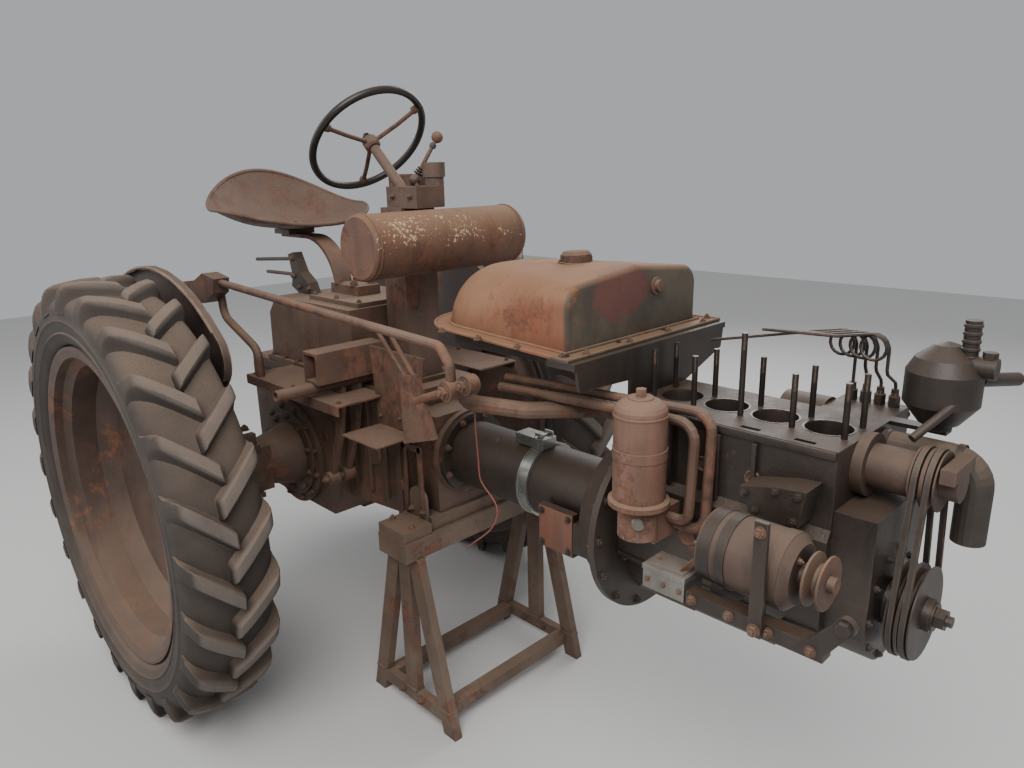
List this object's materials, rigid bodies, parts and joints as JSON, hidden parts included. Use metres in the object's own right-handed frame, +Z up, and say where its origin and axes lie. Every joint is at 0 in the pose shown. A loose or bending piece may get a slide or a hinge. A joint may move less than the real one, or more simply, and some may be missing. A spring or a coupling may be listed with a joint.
{
  "type": "vintage tractor",
  "caption": "Old farm tractor under repair: two rear wheels, gearbox, torque tube and a headless engine, carried at its middle by a trestle stand.",
  "frame": {"origin": "on the floor, under the middle of the tractor's length and width", "axes": "+X forward along the tractor, from the rear wheels to the engine; +Y to its left; +Z up"},
  "size_m": [2.72, 1.643, 1.8447],
  "materials": {
    "tyre_rubber": "dull, dusty with rust-brown mud in the tread",
    "wheel_paint": "dull, old dark red paint worn and rusted",
    "hub_iron": "rough, rusty and oily",
    "gearbox_iron": "rough, rust and dry dust",
    "engine_iron": "rough, black with oil and dust",
    "fender_paint": "dull, dark paint under dust",
    "seat_paint": "dull, worn red paint with rust and dust",
    "lever_iron": "dull, dark and oily",
    "rusty_steel": "rough, red-brown rust",
    "dark_steel": "dull, black paint under oil",
    "clamp_steel": "satin, bare and slightly stained",
    "stud_steel": "dull, oiled",
    "belt_rubber": "dull",
    "hose_rubber": "dull, dusty",
    "box_alloy": "dull, stained",
    "filter_paint": "dull, dark red paint with dust",
    "tank_paint": "dull, faded red-brown paint with tan dust",
    "reservoir_paint": "flaking red-brown paint over rust",
    "wheel_plastic": "worn black",
    "stand_wood": "rough, dirty and oil-soaked",
    "wire_plastic": "dull red-brown"
  },
  "bodies": {
    "chassis": {"axle_trumpets": "gearbox_iron", "fender_plates": "fender_paint", "gearbox_housing": "gearbox_iron", "transmission_cover": "gearbox_iron", "foot_plates": "rusty_steel", "seat_pan": "seat_paint", "seat_spring": "rusty_steel", "hand_levers": "lever_iron", "brake_rod": "rusty_steel", "pedal_linkage": "rusty_steel", "torque_tube": "dark_steel", "tube_clamp": "clamp_steel", "bell_housing": "engine_iron", "engine_block": "engine_iron", "head_studs": "stud_steel", "sump": "engine_iron", "timing_cover": "engine_iron", "crank_pulley": "dark_steel", "fan_belts": "belt_rubber", "water_pump": "filter_paint", "coolant_hose": "hose_rubber", "dynamo": "filter_paint", "dynamo_mounts": "dark_steel", "regulator_box": "box_alloy", "oil_filter": "filter_paint", "oil_pipes": "rusty_steel", "air_cleaner": "dark_steel", "injection_pump": "engine_iron", "injection_lines": "dark_steel", "fuel_tank": "tank_paint", "tank_cap": "rusty_steel", "tank_cradle": "dark_steel", "air_reservoir": "reservoir_paint", "steering_box": "gearbox_iron", "gear_lever": "rusty_steel", "stand_frames": "stand_wood", "stand_beam": "stand_wood", "drawbar": "rusty_steel", "loose_wire": "wire_plastic"},
    "right_wheel": {"tyre_right": "tyre_rubber", "rim_right": "wheel_paint", "half_shaft_right": "hub_iron"},
    "left_wheel": {"tyre_left": "tyre_rubber", "rim_left": "wheel_paint", "half_shaft_left": "hub_iron"},
    "steering_wheel": {"steering_wheel": "wheel_plastic"},
    "dynamo_pulley": {"dynamo_pulley": "rusty_steel"}
  },
  "joints": [
    {"name": "right_wheel_turn", "type": "hinge", "parent": "chassis", "child": "right_wheel", "pos_m": [-0.69, -0.7, 0.67], "axis": [0, 1, 0], "continuous": true},
    {"name": "left_wheel_turn", "type": "hinge", "parent": "chassis", "child": "left_wheel", "pos_m": [-0.69, 0.7, 0.67], "axis": [0, 1, 0], "continuous": true},
    {"name": "steering_wheel_turn", "type": "hinge", "parent": "chassis", "child": "steering_wheel", "pos_m": [-0.361, 0, 1.701], "axis": [-0.7314, 0, 0.682], "range_deg": [-540, 540]},
    {"name": "dynamo_pulley_turn", "type": "hinge", "parent": "chassis", "child": "dynamo_pulley", "pos_m": [1.204, -0.28, 0.962], "axis": [1, 0, 0], "continuous": true}
  ]
}
